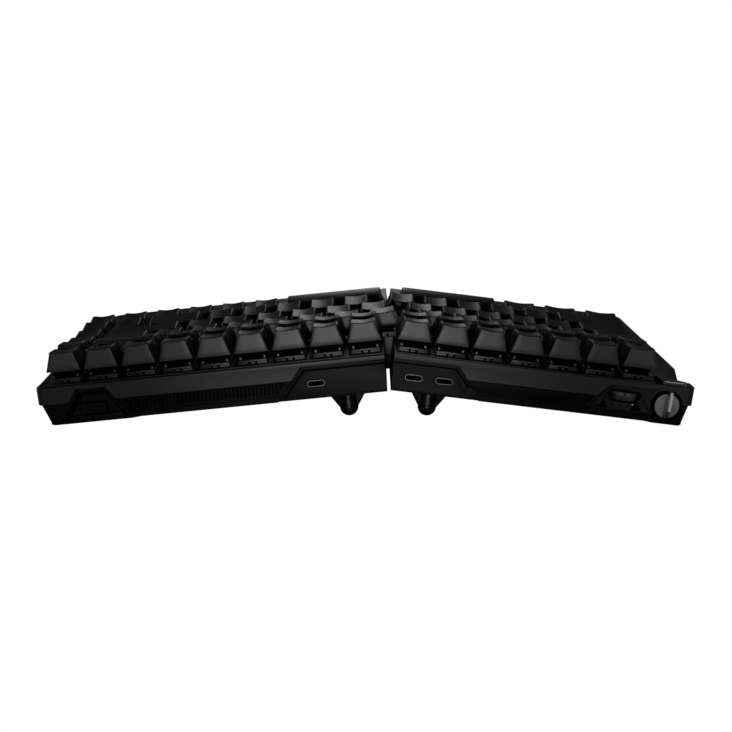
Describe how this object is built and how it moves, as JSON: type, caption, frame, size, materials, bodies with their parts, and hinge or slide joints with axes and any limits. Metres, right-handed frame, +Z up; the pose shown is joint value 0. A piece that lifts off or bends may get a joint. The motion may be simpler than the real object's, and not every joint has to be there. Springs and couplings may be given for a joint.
{
  "type": "ergonomic split keyboard",
  "caption": "Tented split keyboard in two staggered halves with tall sculpted keycaps, a finger bar knob, USB-C ports and plug-in tenting legs.",
  "frame": {"origin": "centre of the bounding box in plan, on the table", "axes": "+X to the user's right along the keyboard, +Y away from the user to the side with the ports, +Z up"},
  "size_m": [0.3314, 0.2142, 0.0544],
  "materials": {
    "frame_black": "satin",
    "case_black": "matte",
    "plate_black": "satin",
    "board_black": "satin",
    "foam_grey": "matte",
    "battery_grey": "satin",
    "switch_grey": "satin",
    "metal_bright": "polished",
    "panel_black": "satin",
    "cap_black": "satin",
    "knob_grey": "satin",
    "foot_rubber": "matte",
    "leg_black": "satin",
    "rest_black": "matte"
  },
  "bodies": {
    "left_half": {"left_top_frame": "frame_black", "left_bottom_case": "case_black", "left_switch_plate": "plate_black", "left_circuit_board": "board_black", "left_foam": "foam_grey", "left_battery": "battery_grey", "left_switches": "switch_grey", "left_stabilizers": "plate_black", "left_board_screws": "metal_bright", "left_port_panel": "panel_black", "left_usb_ports": "metal_bright", "left_mode_panel": "panel_black", "knob_cup": "panel_black", "rotary_encoder": "metal_bright", "left_control_board": "board_black", "left_screw_plugs": "panel_black", "left_rubber_feet": "foot_rubber"},
    "right_half": {"right_top_frame": "frame_black", "right_bottom_case": "case_black", "right_switch_plate": "plate_black", "right_circuit_board": "board_black", "right_foam": "foam_grey", "right_switches": "switch_grey", "right_stabilizers": "plate_black", "right_board_screws": "metal_bright", "right_port_panel": "panel_black", "right_usb_port": "metal_bright", "right_receiver_bay": "panel_black", "right_rubber_feet": "foot_rubber"},
    "left_key_row_1_body": {"left_key_row_1": "cap_black"},
    "left_key_row_2_body": {"left_key_row_2": "cap_black"},
    "left_key_row_3_body": {"left_key_row_3": "cap_black"},
    "left_key_row_4_body": {"left_key_row_4": "cap_black"},
    "left_key_row_5_body": {"left_key_row_5": "cap_black"},
    "tab_key_body": {"tab_key": "cap_black"},
    "caps_lock_key_body": {"caps_lock_key": "cap_black"},
    "left_shift_key_body": {"left_shift_key": "cap_black"},
    "left_modifier_keys_body": {"left_modifier_keys": "cap_black"},
    "left_space_bar_body": {"left_space_bar": "cap_black"},
    "right_key_row_1_body": {"right_key_row_1": "cap_black"},
    "right_key_row_2_body": {"right_key_row_2": "cap_black"},
    "right_key_row_3_body": {"right_key_row_3": "cap_black"},
    "right_key_row_4_body": {"right_key_row_4": "cap_black"},
    "right_key_row_5_body": {"right_key_row_5": "cap_black"},
    "right_key_row_6_body": {"right_key_row_6": "cap_black"},
    "backspace_key_body": {"backspace_key": "cap_black"},
    "backslash_key_body": {"backslash_key": "cap_black"},
    "enter_key_body": {"enter_key": "cap_black"},
    "right_shift_key_body": {"right_shift_key": "cap_black"},
    "right_space_bar_body": {"right_space_bar": "cap_black"},
    "mode_slider_body": {"mode_slider": "frame_black"},
    "rotary_knob_body": {"rotary_knob": "knob_grey"},
    "function_button_body": {"function_button": "frame_black"},
    "receiver_body": {"receiver": "panel_black"},
    "left_rear_leg_body": {"left_rear_leg": "leg_black"},
    "left_front_leg_body": {"left_front_leg": "leg_black"},
    "left_palm_rest_body": {"left_palm_rest": "rest_black"},
    "right_rear_leg_body": {"right_rear_leg": "leg_black"},
    "right_front_leg_body": {"right_front_leg": "leg_black"},
    "right_palm_rest_body": {"right_palm_rest": "rest_black"}
  },
  "joints": [
    {"name": "halves_apart", "type": "slide", "parent": "left_half", "child": "right_half", "axis": [1, 0, 0], "range_m": [0, 0.1]},
    {"name": "left_key_row_1_press", "type": "slide", "parent": "left_half", "child": "left_key_row_1_body", "axis": [0.1222, 0.0532, -0.9911], "range_m": [0, 0.0035], "stiffness_N_per_m": 420, "springref_m": -0.006},
    {"name": "left_key_row_2_press", "type": "slide", "parent": "left_half", "child": "left_key_row_2_body", "axis": [0.1222, 0.0532, -0.9911], "range_m": [0, 0.0035], "stiffness_N_per_m": 420, "springref_m": -0.006},
    {"name": "left_key_row_3_press", "type": "slide", "parent": "left_half", "child": "left_key_row_3_body", "axis": [0.1222, 0.0532, -0.9911], "range_m": [0, 0.0035], "stiffness_N_per_m": 300, "springref_m": -0.006},
    {"name": "left_key_row_4_press", "type": "slide", "parent": "left_half", "child": "left_key_row_4_body", "axis": [0.1222, 0.0532, -0.9911], "range_m": [0, 0.0035], "stiffness_N_per_m": 300, "springref_m": -0.006},
    {"name": "left_key_row_5_press", "type": "slide", "parent": "left_half", "child": "left_key_row_5_body", "axis": [0.1222, 0.0532, -0.9911], "range_m": [0, 0.0035], "stiffness_N_per_m": 300, "springref_m": -0.006},
    {"name": "tab_key_press", "type": "slide", "parent": "left_half", "child": "tab_key_body", "axis": [0.1222, 0.0532, -0.9911], "range_m": [0, 0.0035], "stiffness_N_per_m": 60, "springref_m": -0.006},
    {"name": "caps_lock_key_press", "type": "slide", "parent": "left_half", "child": "caps_lock_key_body", "axis": [0.1222, 0.0532, -0.9911], "range_m": [0, 0.0035], "stiffness_N_per_m": 60, "springref_m": -0.006},
    {"name": "left_shift_key_press", "type": "slide", "parent": "left_half", "child": "left_shift_key_body", "axis": [0.1222, 0.0532, -0.9911], "range_m": [0, 0.0035], "stiffness_N_per_m": 60, "springref_m": -0.006},
    {"name": "left_modifier_keys_press", "type": "slide", "parent": "left_half", "child": "left_modifier_keys_body", "axis": [0.1222, 0.0532, -0.9911], "range_m": [0, 0.0035], "stiffness_N_per_m": 180, "springref_m": -0.006},
    {"name": "left_space_bar_press", "type": "slide", "parent": "left_half", "child": "left_space_bar_body", "axis": [0.1222, 0.0532, -0.9911], "range_m": [0, 0.0035], "stiffness_N_per_m": 60, "springref_m": -0.006},
    {"name": "right_key_row_1_press", "type": "slide", "parent": "right_half", "child": "right_key_row_1_body", "axis": [-0.1025, 0.0532, -0.9933], "range_m": [0, 0.0035], "stiffness_N_per_m": 540, "springref_m": -0.006},
    {"name": "right_key_row_2_press", "type": "slide", "parent": "right_half", "child": "right_key_row_2_body", "axis": [-0.1025, 0.0532, -0.9933], "range_m": [0, 0.0035], "stiffness_N_per_m": 420, "springref_m": -0.006},
    {"name": "right_key_row_3_press", "type": "slide", "parent": "right_half", "child": "right_key_row_3_body", "axis": [-0.1025, 0.0532, -0.9933], "range_m": [0, 0.0035], "stiffness_N_per_m": 480, "springref_m": -0.006},
    {"name": "right_key_row_4_press", "type": "slide", "parent": "right_half", "child": "right_key_row_4_body", "axis": [-0.1025, 0.0532, -0.9933], "range_m": [0, 0.0035], "stiffness_N_per_m": 420, "springref_m": -0.006},
    {"name": "right_key_row_5_press", "type": "slide", "parent": "right_half", "child": "right_key_row_5_body", "axis": [-0.1025, 0.0532, -0.9933], "range_m": [0, 0.0035], "stiffness_N_per_m": 420, "springref_m": -0.006},
    {"name": "right_key_row_6_press", "type": "slide", "parent": "right_half", "child": "right_key_row_6_body", "axis": [-0.1025, 0.0532, -0.9933], "range_m": [0, 0.0035], "stiffness_N_per_m": 360, "springref_m": -0.006},
    {"name": "backspace_key_press", "type": "slide", "parent": "right_half", "child": "backspace_key_body", "axis": [-0.1025, 0.0532, -0.9933], "range_m": [0, 0.0035], "stiffness_N_per_m": 60, "springref_m": -0.006},
    {"name": "backslash_key_press", "type": "slide", "parent": "right_half", "child": "backslash_key_body", "axis": [-0.1025, 0.0532, -0.9933], "range_m": [0, 0.0035], "stiffness_N_per_m": 60, "springref_m": -0.006},
    {"name": "enter_key_press", "type": "slide", "parent": "right_half", "child": "enter_key_body", "axis": [-0.1025, 0.0532, -0.9933], "range_m": [0, 0.0035], "stiffness_N_per_m": 60, "springref_m": -0.006},
    {"name": "right_shift_key_press", "type": "slide", "parent": "right_half", "child": "right_shift_key_body", "axis": [-0.1025, 0.0532, -0.9933], "range_m": [0, 0.0035], "stiffness_N_per_m": 60, "springref_m": -0.006},
    {"name": "right_space_bar_press", "type": "slide", "parent": "right_half", "child": "right_space_bar_body", "axis": [-0.1025, 0.0532, -0.9933], "range_m": [0, 0.0035], "stiffness_N_per_m": 60, "springref_m": -0.006},
    {"name": "mode_slide", "type": "slide", "parent": "left_half", "child": "mode_slider_body", "axis": [-0.9925, 0, -0.1224], "range_m": [-0.0016, 0.0016]},
    {"name": "knob_turn", "type": "hinge", "parent": "left_half", "child": "rotary_knob_body", "pos_m": [-0.15142, 0.10101, 0.01125], "axis": [-0.0065, 0.9986, 0.0528], "continuous": true},
    {"name": "button_press", "type": "slide", "parent": "left_half", "child": "function_button_body", "axis": [0.1222, 0.0532, -0.9911], "range_m": [0, 0.00025], "stiffness_N_per_m": 1200, "springref_m": -0.0005},
    {"name": "receiver_pull", "type": "slide", "parent": "right_half", "child": "receiver_body", "axis": [0.0055, 0.9986, 0.0529], "range_m": [0, 0.014]},
    {"name": "left_rear_leg_pull", "type": "slide", "parent": "left_half", "child": "left_rear_leg_body", "axis": [0.1224, 0, -0.9925], "range_m": [0, 0.006]},
    {"name": "left_front_leg_pull", "type": "slide", "parent": "left_half", "child": "left_front_leg_body", "axis": [0.1224, 0, -0.9925], "range_m": [0, 0.006]},
    {"name": "left_palm_rest_pull", "type": "slide", "parent": "left_half", "child": "left_palm_rest_body", "axis": [0.0065, -0.9986, -0.0528], "range_m": [0, 0.01]},
    {"name": "right_rear_leg_pull", "type": "slide", "parent": "right_half", "child": "right_rear_leg_body", "axis": [-0.1026, 0, -0.9947], "range_m": [0, 0.006]},
    {"name": "right_front_leg_pull", "type": "slide", "parent": "right_half", "child": "right_front_leg_body", "axis": [-0.1026, 0, -0.9947], "range_m": [0, 0.006]},
    {"name": "right_palm_rest_pull", "type": "slide", "parent": "right_half", "child": "right_palm_rest_body", "axis": [-0.0055, -0.9986, -0.0529], "range_m": [0, 0.01]}
  ]
}
